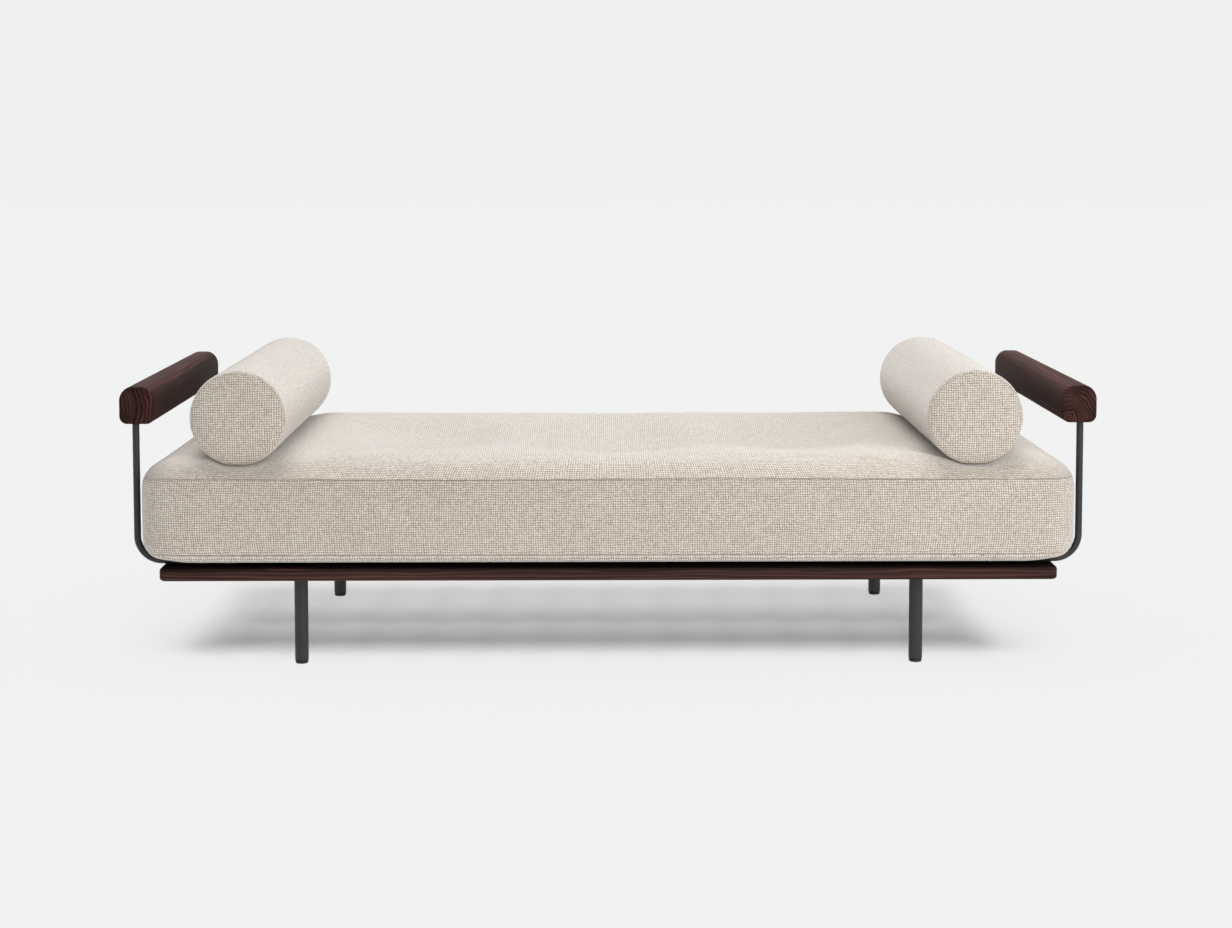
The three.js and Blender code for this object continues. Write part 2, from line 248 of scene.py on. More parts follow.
def floor_material():
    shader = Shader("pale_floor")
    matt = shader.add("BsdfDiffuse", {"Color": (*FLOOR_COLOUR, 1)})
    shader.add("OutputMaterial", {"Surface": matt.outputs[0]})
    return shader.material


# ---- Materials ----

YARN_PITCH = 4.7 * MM
WEAVE_NUB = (0.748, 0.680, 0.605)
# the gaps' colour is painted shade: darker and browner, where the yarns shade each other
WEAVE_GAP_SHADE = (0.270, 0.202, 0.143)


def weave_material(name):
    """A plain weave of nubbly uneven yarns, drawn in the fabric's own coordinates."""
    shader = Shader(name)
    cloth = shader.add("UVMap", uv_map="weave").outputs[0]
    slow = shader.add("TexNoise", {"Vector": cloth, "Scale": 50, "Detail": 1}).outputs["Color"]
    quick = shader.add("TexNoise", {"Vector": cloth, "Scale": 300, "Detail": 1}).outputs["Color"]
    slow = shader.vector("MULTIPLY", shader.vector("SUBTRACT", slow, (0.5, 0.5, 0.5)), (0.9, 0.9, 0))
    quick = shader.vector("MULTIPLY", shader.vector("SUBTRACT", quick, (0.5, 0.5, 0.5)), (0.5, 0.5, 0))
    wander = shader.vector("ADD", slow, quick)
    u, v, _ = shader.split(cloth)
    yarns = shader.vector("ADD", shader.vector("DIVIDE", cloth, (YARN_PITCH, YARN_PITCH, 1)), wander)
    p, q, _ = shader.split(yarns)
    cell = shader.vector("FLOOR", yarns)
    warp_number, weft_number, _ = shader.split(cell)
    nub = shader.add("TexWhiteNoise", {"Vector": cell}, noise_dimensions="2D").outputs["Value"]

    # a yarn's thickness changes along it, and each nub's from its neighbours'
    warp_place = shader.join(shader.times(warp_number, 3.37), shader.times(v, 60))
    weft_place = shader.join(shader.times(weft_number, 5.71), shader.times(u, 60))
    uneven = shader.plus(shader.noise(warp_place, 1), shader.noise(weft_place, 1))
    uneven = shader.range(uneven, 0.6, 1.4, -0.08, 0.08)
    body = shader.plus(uneven, shader.range(nub, 0, 1, 0.82, 1.14))

    warp_wave = shader.math("SINE", shader.times(p, math.pi))
    weft_wave = shader.math("SINE", shader.times(q, math.pi))
    over = shader.times(shader.times(warp_wave, weft_wave), 0.5)
    warp_rise = shader.math("ABSOLUTE", warp_wave)
    weft_rise = shader.math("ABSOLUTE", weft_wave)
    warp_rise = shader.math("POWER", warp_rise, shader.minus(0.6, over))
    weft_rise = shader.math("POWER", weft_rise, shader.plus(0.6, over))
    height = shader.times(shader.times(warp_rise, weft_rise), body)

    fibres = shader.noise(cloth, 2600, 3, 0.65)
    mottle = shader.noise(cloth, 9, 3)
    fuzz = shader.times(shader.minus(fibres, 0.5), 0.35)
    fuzzy = shader.plus(height, fuzz)
    # painted shade: low places between the yarns take the gap colour, the lit tops the yarn colour
    lit = shader.step(fuzzy, 0.05, 0.85)
    colour = shader.blend(lit, (*WEAVE_GAP_SHADE, 1), (*WEAVE_NUB, 1))
    tint = shader.range(mottle, 0.2, 0.8, 0.97, 1.03)
    tint = shader.times(tint, shader.range(nub, 0, 1, 0.95, 1.05))
    colour = shader.shade(colour, tint)
    # painted shade: the stitched rings darken the colour, for the shade in the seams' grooves
    seam = shader.add("Attribute", attribute_name="seam").outputs["Fac"]
    colour = shader.blend(seam, colour, (0.14, 0.10, 0.07, 1))
    return shader.finish(
        Base_Color=colour,
        Roughness=0.92,
        Specular_IOR_Level=0.2,
        Sheen_Weight=0.8,
        Sheen_Roughness=0.5,
        Normal=shader.bump(fuzzy, 1.0 * MM, 0.7),
    )


def wood_material(name, along, pith, palette, ring, redness=1.0, side_contrast=1.0, painted_top_shading=1.0):
    """Solid wood: growth rings about a line along one axis, with fibres and pores along it.

    along is the grain's axis, 0 for X or 1 for Y. pith is the rings' centre, in the plane across it.
    palette is (early wood, late wood, red streak). side_contrast is how strongly the rings show on
    the long sides, against the ends. painted_top_shading is painted light: how much lighter or darker
    the upper side is painted, a painted highlight above 1 and painted shade below it."""
    shader = Shader(name)
    place = shader.add("TexCoord").outputs["Object"]
    axes = shader.split(place)
    length, across, up = axes[along], axes[1 - along], axes[2]

    grain_place = shader.join(length, across, up)

    def grain(stretch, fine, detail=3, output="Fac"):
        """Noise that is fine across the grain and long along it."""
        where = shader.vector("MULTIPLY", grain_place, (stretch, fine, fine))
        inputs = {"Vector": where, "Scale": 1.0, "Detail": detail}
        return shader.add("TexNoise", inputs).outputs[output]

    drift = shader.vector("SUBTRACT", grain(2.2, 22, output="Color"), (0.5, 0.5, 0.5))
    drift_across, drift_up, _ = shader.split(shader.vector("MULTIPLY", drift, (0.022, 0.022, 0)))
    a = shader.plus(shader.minus(across, pith[0]), drift_across)
    b = shader.plus(shader.minus(up, pith[1]), drift_up)
    squares = shader.plus(shader.times(a, a), shader.times(b, b))
    years = shader.math("DIVIDE", shader.math("SQRT", squares), ring)
    years = shader.plus(years, shader.times(grain(3, 60), 0.9))
    year = shader.math("FLOOR", years)
    season = shader.minus(years, year)
    width = shader.range(shader.random(year), 0, 1, 0.25, 0.7)
    late = shader.minus(shader.step(season, 0.15, shader.plus(0.15, width)),
                       shader.step(season, 0.9, 1.0))
    strength = shader.random(shader.plus(year, 21.9))
    late = shader.times(late, shader.range(strength, 0, 1, 0.5, 1))
    streak_place = shader.math("ABSOLUTE", shader.minus(season, 0.1))
    red = shader.minus(1, shader.step(streak_place, 0.04, 0.2))
    red_year = shader.random(shader.plus(year, 57.3))
    red = shader.times(red, shader.step(red_year, 0.3, 0.9))
    patches = shader.step(grain(4, 40, detail=2), 0.4, 0.65)
    red = shader.times(shader.times(red, patches), redness)

    fibres = grain(9, 620, detail=4)
    pores = shader.step(grain(55, 1500, detail=2), 0.62, 0.72)
    clouds = grain(1.2, 26, detail=2)
    early_wood, late_wood, streak = palette
    normal = shader.split(shader.add("NewGeometry").outputs["Normal"])
    on_end = shader.step(shader.math("ABSOLUTE", normal[along]), 0.6, 0.9)
    rings = shader.range(on_end, 0, 1, side_contrast, 1)
    late = shader.plus(shader.times(late, rings),
                       shader.times(shader.minus(1, rings), 0.5))
    red = shader.times(red, rings)
    colour = shader.blend(late, (*early_wood, 1), (*late_wood, 1))
    colour = shader.blend(red, colour, (*streak, 1))
    tone = shader.range(fibres, 0.25, 0.75, 0.7, 1.3)
    tone = shader.times(tone, shader.range(clouds, 0.3, 0.7, 0.65, 1.35))
    tone = shader.times(tone, shader.range(pores, 0, 1, 1, 0.45))
    # painted light: faces that look up are painted lighter or darker by painted_top_shading
    facing_up = shader.step(normal[2], 0.5, 0.9)
    tone = shader.times(tone, shader.range(facing_up, 0, 1, 1, painted_top_shading))
    colour = shader.shade(colour, tone)
    relief = shader.minus(shader.times(fibres, 0.4), pores)
    return shader.finish(
        Base_Color=colour,
        Roughness=shader.range(fibres, 0.2, 0.8, 0.54, 0.70),
        Specular_IOR_Level=0.07,
        IOR=1.4,
        Normal=shader.bump(relief, 0.12 * MM, 0.6),
    )


def coated_steel_material():
    """Powder coat: a fine orange peel with a slight unevenness of gloss."""
    shader = Shader("black_powder_coat")
    place = shader.add("TexCoord").outputs["Object"]
    peel = shader.noise(place, 900, 2)
    cloud = shader.noise(place, 6, 3)
    tone = shader.range(cloud, 0.3, 0.7, 0.85, 1.15)
    colour = shader.shade((0.024, 0.024, 0.025, 1), tone)
    return shader.finish(
        Base_Color=colour,
        Roughness=shader.range(cloud, 0.3, 0.7, 0.44, 0.56),
        Specular_IOR_Level=0.4,
        Normal=shader.bump(peel, 0.08 * MM, 0.5),
    )


def zinc_material():
    """Bright zinc plate, faintly mottled, with fine turning marks."""
    shader = Shader("zinc_plate")
    place = shader.add("TexCoord").outputs["Object"]
    mottle = shader.noise(place, 260, 3)
    marks = shader.noise(shader.vector("MULTIPLY", place, (300, 300, 5200)), 1, 2)
    colour = shader.blend(mottle, (0.42, 0.43, 0.44, 1), (0.66, 0.66, 0.64, 1))
    return shader.finish(
        Base_Color=colour,
        Metallic=1.0,
        Roughness=shader.range(mottle, 0.3, 0.7, 0.24, 0.42),
        Normal=shader.bump(marks, 0.03 * MM, 0.5),
    )


def plastic_material():
    """Black moulded plastic with a fine spark-eroded texture."""
    shader = Shader("black_plastic")
    place = shader.add("TexCoord").outputs["Object"]
    grain = shader.noise(place, 2200, 3)
    scuffs = shader.step(shader.noise(place, 120, 4, 0.7), 0.55, 0.75)
    colour = shader.blend(scuffs, (0.012, 0.012, 0.012, 1), (0.028, 0.027, 0.026, 1))
    return shader.finish(
        Base_Color=colour,
        Roughness=shader.range(grain, 0.3, 0.7, 0.5, 0.7),
        Normal=shader.bump(grain, 0.05 * MM, 0.5),
    )


def tape_material():
    """Woven zip tape: a tight twill."""
    shader = Shader("zip_tape")
    place = shader.add("TexCoord").outputs["Object"]
    x, y, z = shader.split(place)
    slant = shader.plus(shader.plus(x, y), z)
    twill = shader.math("SINE", shader.times(slant, 5200))
    colour = shader.blend(shader.step(twill, -0.6, 0.8), (0.30, 0.25, 0.19, 1), (0.46, 0.40, 0.32, 1))
    return shader.finish(
        Base_Color=colour,
        Roughness=0.9,
        Normal=shader.bump(twill, 0.1 * MM, 0.5),
    )


# ---- Meshes ----

def new_object(name, points, faces, material):
    mesh = bpy.data.meshes.new(name)
    mesh.from_pydata([tuple(p) for p in points], [], [tuple(f) for f in faces])
    mesh.validate()
    mesh.materials.append(material)
    mesh.polygons.foreach_set("use_smooth", [True] * len(mesh.polygons))
    obj = bpy.data.objects.new(name, mesh)
    bpy.context.scene.collection.objects.link(obj)
    return obj


def apply_modifiers(obj):
    graph = bpy.context.evaluated_depsgraph_get()
    mesh = bpy.data.meshes.new_from_object(obj.evaluated_get(graph))
    obj.modifiers.clear()
    obj.data = mesh


def settle(piece, body, slot, *nodes):
    """Puts a finished piece on its body, in place of its CAD nodes; slot is not used."""
    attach(piece, body)
    if nodes:
        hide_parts(*nodes)


def ring_faces(first, second, count):
    """Quads between two closed rings of points, given by their first indices."""
    return [
        (first + i, first + (i + 1) % count, second + (i + 1) % count, second + i)
        for i in range(count)
    ]


def swept_faces(rings, count, first=0, flip=False):
    """The faces of rings of points in a row, joined by quads and closed at both ends."""
    faces = []
    for k in range(rings - 1):
        faces += ring_faces(first + k * count, first + (k + 1) * count, count)
    start = [first + i for i in range(count)]
    last = [(rings - 1) * count + i for i in start]
    return faces + ([start[::-1], last] if flip else [start, last[::-1]])


def turned(name, profile, material, sides, lobe=None):
    """A body of revolution about Z. profile is [(radius, height), ...] from bottom to top;
    a radius of 0 closes an end with a fan. lobe(height_index, angle) scales a radius."""
    points, faces, rings = [], [], []
    for k, (radius, height) in enumerate(profile):
        rings.append(len(points))
        if radius == 0:
            points.append((0, 0, height))
            continue
        for i in range(sides):
            angle = 2 * math.pi * i / sides
            r = radius * (lobe(k, angle) if lobe else 1)
            points.append((r * math.cos(angle), r * math.sin(angle), height))
    for k in range(len(profile) - 1):
        low, high = rings[k], rings[k + 1]
        if profile[k][0] == 0:
            faces += [(low, high + (i + 1) % sides, high + i) for i in range(sides)]
        elif profile[k + 1][0] == 0:
            faces += [(low + i, low + (i + 1) % sides, high) for i in range(sides)]
        else:
            faces += ring_faces(low, high, sides)
    return new_object(name, points, faces, material)


def arc(centre, radius, start, end, steps):
    """Points on a circle, from one angle to another in degrees."""
    angles = [math.radians(start + (end - start) * i / steps) for i in range(steps + 1)]
    return [(centre[0] + radius * math.cos(t), centre[1] + radius * math.sin(t)) for t in angles]


def rounded_outline(width, height, radius, steps):
    """A rectangle with round corners about the origin, anticlockwise."""
    x, y = width / 2 - radius, height / 2 - radius
    centres = [((x, y), 0), ((-x, y), 90), ((-x, -y), 180), ((x, -y), 270)]
    return [p for centre, start in centres for p in arc(centre, radius, start, start + 90, steps)]


def keep_edges_crisp(obj, angle=32):
    """Smooth shading, except across edges sharper than the angle in degrees."""
    obj.data.shade_smooth()
    edges = obj.data.edges
    faces_of = {}
    for polygon in obj.data.polygons:
        for key in polygon.edge_keys:
            faces_of.setdefault(key, []).append(polygon.normal)
    limit = math.radians(angle)
    sharp = []
    for edge in edges:
        normals = faces_of.get(edge.key, [])
        sharp.append(len(normals) == 2 and normals[0].angle(normals[1], 0) > limit)
    edges.foreach_set("use_edge_sharp", sharp)


# ---- Padding ----

CLOTH_FRAMES = 22


def swell(obj, pinned, pressure, cap):
    """Blows the cloth up a little from inside, holding the pinned points, as stuffing does."""
    scene = bpy.context.scene
    rest = coordinates_of(obj.data)
    group = obj.vertex_groups.new(name="pinned")
    group.add([int(i) for i in pinned], 1.0, "REPLACE")
    cloth = obj.modifiers.new("cloth", "CLOTH")
    settings = cloth.settings
    settings.vertex_group_mass = "pinned"
    settings.quality = 5
    settings.mass = 0.3
    settings.tension_stiffness = 25
    settings.compression_stiffness = 25
    settings.shear_stiffness = 8
    settings.bending_stiffness = 2
    settings.use_pressure = True
    settings.uniform_pressure_force = pressure
    settings.effector_weights.gravity = 0
    cloth.collision_settings.use_collision = False
    cloth.collision_settings.use_self_collision = False
    cloth.point_cache.frame_start = 1
    cloth.point_cache.frame_end = CLOTH_FRAMES
    for number in range(1, CLOTH_FRAMES + 1):
        scene.frame_set(number)
    evaluated = obj.evaluated_get(bpy.context.evaluated_depsgraph_get())
    shift = coordinates_of(evaluated.to_mesh()) - rest
    evaluated.to_mesh_clear()
    obj.modifiers.remove(cloth)
    obj.vertex_groups.remove(group)
    scene.frame_set(1)
    length = np.linalg.norm(shift, axis=1, keepdims=True)
    shift *= cap * np.tanh(length / cap) / np.maximum(length, 1e-9)
    obj.data.vertices.foreach_set("co", (rest + shift).ravel())
    obj.data.update()


def coordinates_of(mesh):
    flat = np.empty(len(mesh.vertices) * 3)
    mesh.vertices.foreach_get("co", flat)
    return flat.reshape(-1, 3)


def add_weave_map(obj, faces, kinds, maps, girth):
    """Lays the weave on each face by its panel: maps has each point's place on each panel of cloth.
    A face that closes a band round the piece takes its far edge's place a full girth on."""
    layer = obj.data.uv_layers.new(name="weave")
    values = []
    for face, kind in zip(faces, kinds):
        places = maps[kind][list(face)]
        if kind == "band" and np.ptp(places[:, 0]) > girth / 2:
            places = places.copy()
            places[places[:, 0] < girth / 2, 0] += girth
        values.append(places)
    layer.data.foreach_set("uv", np.vstack(values).ravel())


def paint_seam_shade(obj, rings, darkness):
    """Gives the points along the stitched rings a value for the material's painted shade: a dark line
    for the shade in the stitching's groove.
    """
    seam = np.zeros(len(obj.data.vertices), np.float32)
    for start, count in rings:
        seam[start:start + count] = darkness
    attribute = obj.data.attributes.new("seam", "FLOAT", "POINT")
    attribute.data.foreach_set("value", seam)


def finish_padding(obj, fill, *nodes):
    subdivision = obj.modifiers.new("smooth", "SUBSURF")
    subdivision.levels = subdivision.render_levels = 1
    apply_modifiers(obj)
    body = nodes[0].removesuffix("_cover")
    settle(obj, body, "woven_cover", *nodes)


def bolster_shape(side):
    """The X and Z of a bolster's axis, its radius, and the height of its flat underside."""
    low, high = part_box(f"{side}_bolster_cover")
    middle, height = (low.x + high.x) / 2, (low.z + high.z) / 2
    radius = (high.z - low.z) / 2 + BOLSTER_SWELL
    return middle + BOLSTER_SHIFTS[side], height - BOLSTER_DROP, radius, low.z - BOLSTER_SINK


# ---- Mattress ----

MATTRESS_CORNER = 62 * MM  # in plan
MATTRESS_MARGIN = 60 * MM  # from a side to the plain grid of the top and bottom
MATTRESS_CELLS = (136, 54)
SIDE_TOP_ROUNDING = 30 * MM
END_TOP_ROUNDING = 50 * MM
SIDE_BOTTOM_ROUNDING = 22 * MM
END_BOTTOM_ROUNDING = 38 * MM
TOP_SEAM_DROP = 29.5 * MM
TOP_SEAM_TILT = math.radians(34)  # of the top panel's edge, from upright
BOTTOM_SEAM_RISE = 14.5 * MM
SEAM_WANDER = 1.2 * MM
SEAM_DEPTH = 1.8 * MM
SEAM_WIDTH = 1.5 * MM
SIDE_BULGE = 4 * MM
END_BULGE = 0.2 * MM  # so that the swollen ends still pass between the rods
EDGE_DROOP = 4.5 * MM  # of the underside's front edge, which hangs outside the rod
CROWN = 12 * MM
TROUGH_DEPTH = 26 * MM  # along the middle, through the tufts
TROUGH_REACH = 100 * MM
TUFTS = [(-0.388, 0.9), (0.0, 1.1), (0.391, 0.95)]  # X and share of the full size
TUFT_DEPTH = 30 * MM
TUFT_REACH = (165 * MM, 238 * MM)
TUFT_HELD = 18 * MM  # round a tuft, where the cloth is held down
BOLSTER_HELD = 30 * MM  # to each side of a bolster's axis, where it is held down
GROOVE_START = 348 * MM  # from the middle in Y, where a bolster's end presses deeper
GROOVE_RAMP = 14 * MM
PRESS_END = 378 * MM  # from the middle in Y, where the press of a bolster fades out
PRESS_RAMP = 20 * MM
PRESS_DEPTH = 0.8 * MM
GROOVE_DEPTH = 6.5 * MM
PRESS_SOFTNESS = 1.2 * MM
DROOP_START = (900 * MM, 345 * MM)  # X and Y from the middle
DROOP_RAMP = (50 * MM, 30 * MM)


def mattress_plan(inset, half):
    """The mattress's outline at an inset, which may differ from point to point."""
    nx, ny = MATTRESS_CELLS
    xs, ys = np.linspace(-1, 1, nx + 1)[:-1], np.linspace(-1, 1, ny + 1)[:-1]
    edge = [(x, -1) for x in xs] + [(1, y) for y in ys] + [(-x, 1) for x in xs] + [(-1, -y) for y in ys]
    inset = np.broadcast_to(inset, len(edge))[:, None]
    size = np.array(half) - inset
    radius = MATTRESS_CORNER * np.maximum(1 - inset / MATTRESS_MARGIN, 0.001)
    ring = np.array(edge) * size
    core = np.clip(ring, radius - size, size - radius)
    normal = (ring - core) / np.linalg.norm(ring - core, axis=1, keepdims=True)
    return core + normal * radius, normal


def mattress_profile(top, bottom, endness, wander):
    """Rows of (inset, height, groove depth, panel below), from the top grid's edge to the bottom's."""
    def mixed(side, end):
        return side + (end - side) * endness

    top_round = mixed(SIDE_TOP_ROUNDING, END_TOP_ROUNDING)
    bottom_round = mixed(SIDE_BOTTOM_ROUNDING, END_BOTTOM_ROUNDING)
    bulge = mixed(SIDE_BULGE, END_BULGE)
    seam_top = top - TOP_SEAM_DROP + wander
    seam_bottom = bottom + BOTTOM_SEAM_RISE + 0 * endness

    def inset_at(z):
        over = np.clip(z - (top - top_round), 0, top_round)
        under = np.clip(bottom + bottom_round - z, 0, bottom_round)
        curve = top_round - np.sqrt(top_round ** 2 - over ** 2)
        curve += bottom_round - np.sqrt(bottom_round ** 2 - under ** 2)
        height = np.clip((z - seam_bottom) / (seam_top - seam_bottom), 0, 1)
        return curve - bulge * np.sin(np.pi * height) ** 0.8

    rows = []
    drop = top - seam_top - SEAM_WIDTH
    last = mixed(TOP_SEAM_TILT, math.asin(1 - TOP_SEAM_DROP / END_TOP_ROUNDING))
    radius = drop / (1 - np.sin(last))
    begin = inset_at(seam_top) + SEAM_WIDTH * 0.5
    reach = begin + radius * np.cos(last)
    rows.append(((MATTRESS_MARGIN + reach) / 2, top + 0 * endness, 0, "top"))
    for t in np.linspace(1, 0, 9):
        angle = last + (math.pi / 2 - last) * t
        rows.append((reach - radius * np.cos(angle), top - radius * (1 - np.sin(angle)), 0, "top"))
    rows.append((inset_at(seam_top), seam_top, 1, "band"))
    for t in np.r_[0.008, np.linspace(0.05, 0.95, 11), 0.985]:
        z = seam_top + (seam_bottom - seam_top) * t
        rows.append((inset_at(z), z, 0, "band"))
    rows.append((inset_at(seam_bottom), seam_bottom, 1, "bottom"))
    first = np.arcsin((bottom_round - BOTTOM_SEAM_RISE + SEAM_WIDTH) / bottom_round)
    for t in np.linspace(0, 1, 6):
        angle = first + (math.pi / 2 - first) * t
        inset, rise = bottom_round * (1 - np.cos(angle)), bottom_round * (1 - np.sin(angle))
        rows.append((inset, bottom + rise, 0, "bottom"))
    rows.append(((MATTRESS_MARGIN + bottom_round) / 2, bottom + 0 * endness, 0, "bottom"))
    return rows


def mattress_relief(x, y, half):
    """How far the top face stands above its edge, with the tufts pulled in."""
    rise = CROWN * (1 - np.abs(x / half[0]) ** 8) * (1 - np.abs(y / half[1]) ** 8)
    trough = np.exp(-0.5 * (y / TROUGH_REACH) ** 2) * np.clip(1.5 - np.abs(x) / 0.40, 0, 1)
    rise = rise - TROUGH_DEPTH * trough
    for place, share in TUFTS:
        away = np.hypot((x - place) / (TUFT_REACH[0] * share), y / (TUFT_REACH[1] * share))
        rise = rise - TUFT_DEPTH * share * np.exp(-away ** 4)
    return rise


def under_bolsters(x, y, z):
    """Presses the top face down to the undersides of the bolsters."""
    for side in SIDES:
        centre, height, radius, underside = bolster_shape(side)
        away = np.clip(np.abs(x - centre), 0, radius * 0.98)
        clear = np.clip((np.abs(y) - GROOVE_START) / GROOVE_RAMP, 0, 1)
        roller = np.maximum(height - np.sqrt(radius ** 2 - away ** 2), underside)
        roller = roller - (PRESS_DEPTH + GROOVE_DEPTH * clear)
        pressed = 0.5 * (z + roller - np.sqrt((z - roller) ** 2 + PRESS_SOFTNESS ** 2))
        ends = np.clip((np.abs(y) - PRESS_END) / PRESS_RAMP, 0, 1)
        z = pressed + (z - pressed) * ends
    return z


def make_mattress(material):
    low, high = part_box("mattress_cover")
    half = ((high.x - low.x) / 2, (high.y - low.y) / 2)
    top, bottom = high.z, low.z
    nx, ny = MATTRESS_CELLS
    around = 2 * (nx + ny)
    outline, normal = mattress_plan(0, half)
    endness = np.abs(normal[:, 0])
    steps = np.linalg.norm(np.roll(outline, -1, axis=0) - outline, axis=1)
    along = np.r_[0, np.cumsum(steps)[:-1]]
    girth = steps.sum()
    wander = SEAM_WANDER * np.sin(along * 2 * np.pi * 5 / girth + 0.8)
    pucker = 1 + 0.25 * np.sin(along * 571) + 0.2 * np.sin(along * 61)

    # the plain grids: one for the top, one for the bottom
    edge = [h - MATTRESS_MARGIN for h in half]
    gx, gy = np.meshgrid(np.linspace(-edge[0], edge[0], nx + 1), np.linspace(-edge[1], edge[1], ny + 1))
    flat = np.c_[gx.ravel(), gy.ravel()]

    def at(i, j):
        return j * (nx + 1) + i

    border = [at(i, 0) for i in range(nx)] + [at(nx, j) for j in range(ny)]
    border += [at(nx - i, ny) for i in range(nx)] + [at(0, ny - j) for j in range(ny)]
    rows = mattress_profile(top, bottom, endness, wander)
    first_ring = len(flat)
    last_ring = first_ring + around * len(rows)

    points = [np.c_[flat, np.full(len(flat), top)]]
    on_top = [flat]
    on_band = [np.zeros_like(flat)]
    previous = points[0][border]
    travelled = np.zeros(around)
    seams = []
    for k, (inset, z, groove, _) in enumerate(rows):
        ring, _ = mattress_plan(inset, half)
        ring = ring - normal * (groove * SEAM_DEPTH * pucker)[:, None]
        placed = np.c_[ring, z]
        travelled = travelled + np.linalg.norm(placed - previous, axis=1)
        previous = placed
        points.append(placed)
        on_top.append(flat[border] + normal * travelled[:, None])
        on_band.append(np.c_[along, z])
        if groove:
            seams.append((first_ring + k * around, around))
    points.append(np.c_[flat, np.full(len(flat), bottom)])
    on_top.append(flat)
    on_band.append(np.zeros_like(flat))
    points = np.vstack(points)
    maps = {"top": np.vstack(on_top), "band": np.vstack(on_band), "bottom": points[:, :2].copy()}

    # the crown, the tufts and the bolsters' weight; and the underside's droop
    share = np.clip((points[:, 2] - (top - TOP_SEAM_DROP)) / TOP_SEAM_DROP, 0, 1)
    x, y = points[:, 0], points[:, 1]
    raised = points[:, 2] + mattress_relief(x, y, half) * share
    raised = np.where(share > 0.3, under_bolsters(x, y, raised), raised)
    in_front = np.clip((-y - DROOP_START[1]) / DROOP_RAMP[1], 0, 1)
    outside = in_front * np.clip((DROOP_START[0] - np.abs(x)) / DROOP_RAMP[0], 0, 1)
    low_share = np.clip(1 - (points[:, 2] - bottom) / SIDE_BOTTOM_ROUNDING, 0, 1)
    points[:, 2] = raised - EDGE_DROOP * outside * low_share

    faces, kinds = [], []
    cells = [(i, j) for j in range(ny) for i in range(nx)]
    faces += [(at(i, j), at(i + 1, j), at(i + 1, j + 1), at(i, j + 1)) for i, j in cells]
    kinds += ["top"] * len(cells)
    loops = [border] + [range(s, s + around) for s in range(first_ring, last_ring, around)]
    loops.append([last_ring + k for k in border])
    panels = ["top"] + [row[3] for row in rows]
    for upper, lower, panel in zip(loops, loops[1:], panels):
        for i in range(around):
            n = (i + 1) % around
            faces.append((lower[i], lower[n], upper[n], upper[i]))
        kinds += [panel] * around
    faces += [tuple(last_ring + k for k in (at(i, j), at(i, j + 1), at(i + 1, j + 1), at(i + 1, j)))
              for i, j in cells]
    kinds += ["bottom"] * len(cells)

    mattress = new_object("mattress", points, faces, material)
    add_weave_map(mattress, faces, kinds, maps, girth)
    paint_seam_shade(mattress, seams, 0.55)

    pinned = set(range(seams[0][0], seams[0][0] + around)) | set(range(seams[1][0], len(points)))
    upward = (share > 0.9) & (np.arange(len(points)) < last_ring)
    for place, _ in TUFTS:
        pinned |= set(np.flatnonzero(upward & (np.hypot(x - place, y) < TUFT_HELD)))
    for side in SIDES:
        centre = bolster_shape(side)[0]
        pinned |= set(np.flatnonzero(upward & (np.abs(x - centre) < BOLSTER_HELD)))
    swell(mattress, sorted(pinned), 2.5, 5 * MM)
    finish_padding(mattress, 0.8, "mattress_cover", "mattress_core")
    return mattress


# ---- Bolsters ----

BOLSTER_SIDES = 128
BOLSTER_SWELL = 4.3 * MM  # its cover stands this far proud of the CAD
BOLSTER_DROP = 3.3 * MM  # of its axis
BOLSTER_SINK = 4 * MM  # of its underside, into the mattress
BOLSTER_SHIFTS = {"left": -6 * MM, "right": -1.5 * MM}
END_SEAM_RADIUS = 93.5 * MM
END_SEAM_SETBACK = 7.5 * MM
END_DOME = 12 * MM
END_ROUNDING = 8 * MM


def bolster_profile(radius, half):
    """Rows of (radius, Y, groove, panel after), from one end's middle to the other's."""
    seam_y = half - END_SEAM_SETBACK
    shares = (0, 0.12, 0.25, 0.38, 0.5, 0.6, 0.7, 0.78, 0.85, 0.91, 0.95, 0.98)
    end = [(END_SEAM_RADIUS * t, seam_y + END_DOME * (1 - t ** 3.4), 0, "end") for t in shares]
    end.append((END_SEAM_RADIUS, seam_y, 1, "band"))
    rise = radius - END_SEAM_RADIUS
    for t in (0.12, 0.3, 0.55, 0.8):
        end.append((END_SEAM_RADIUS + rise * math.sin(t * math.pi / 2),
                    seam_y - END_ROUNDING * (1 - math.cos(t * math.pi / 2)) - 0.8 * MM, 0, "band"))
    straight = np.linspace(seam_y - END_ROUNDING - 2 * MM, END_ROUNDING - seam_y, 52)[:-1]
    rows = [(r, -y, g, k) for r, y, g, k in end]
    rows += [(radius, -y, 0, "band") for y in straight]
    far = end[::-1]
    panels = ["band"] * (len(far) - 13) + ["end"] * 13
    rows += [(r, y, g, panel) for (r, y, g, _), panel in zip(far, panels)]
    return rows


